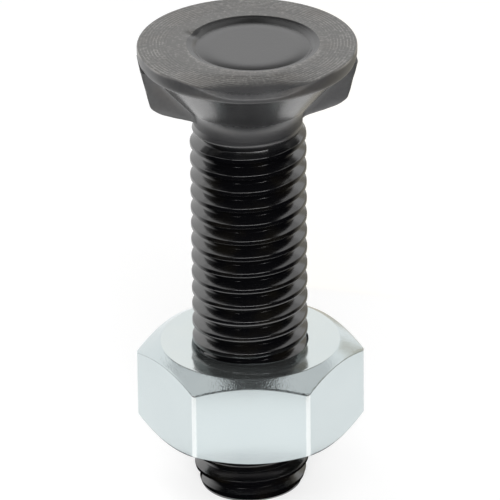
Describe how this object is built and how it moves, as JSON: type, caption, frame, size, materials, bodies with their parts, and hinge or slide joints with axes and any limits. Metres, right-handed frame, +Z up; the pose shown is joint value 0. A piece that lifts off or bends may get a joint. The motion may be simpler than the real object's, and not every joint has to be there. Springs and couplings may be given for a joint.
{
  "type": "plow bolt",
  "caption": "Plow bolt with a flat countersunk head, nibs under the head that stop it turning, a coarse thread to the end, and a hexagon nut run on to it.",
  "frame": {"origin": "centre of the bolt's flat threaded end, on which it stands", "axes": "+Z up the bolt's axis towards the head, X through the two nibs"},
  "size_m": [0.0192, 0.0182, 0.0406],
  "materials": {
    "black_oxide_steel": "black oxide over forged and rolled steel, satin, lightly oiled",
    "zinc_plated_steel": "bright zinc plating, blue-white"
  },
  "bodies": {
    "bolt": {"plow_bolt": "black_oxide_steel"},
    "nut": {"hex_nut": "zinc_plated_steel"}
  },
  "joints": [
    {"name": "nut_travel", "type": "slide", "parent": "bolt", "child": "nut", "axis": [0, 0, 1], "range_m": [-0.0045, 0.018]}
  ]
}
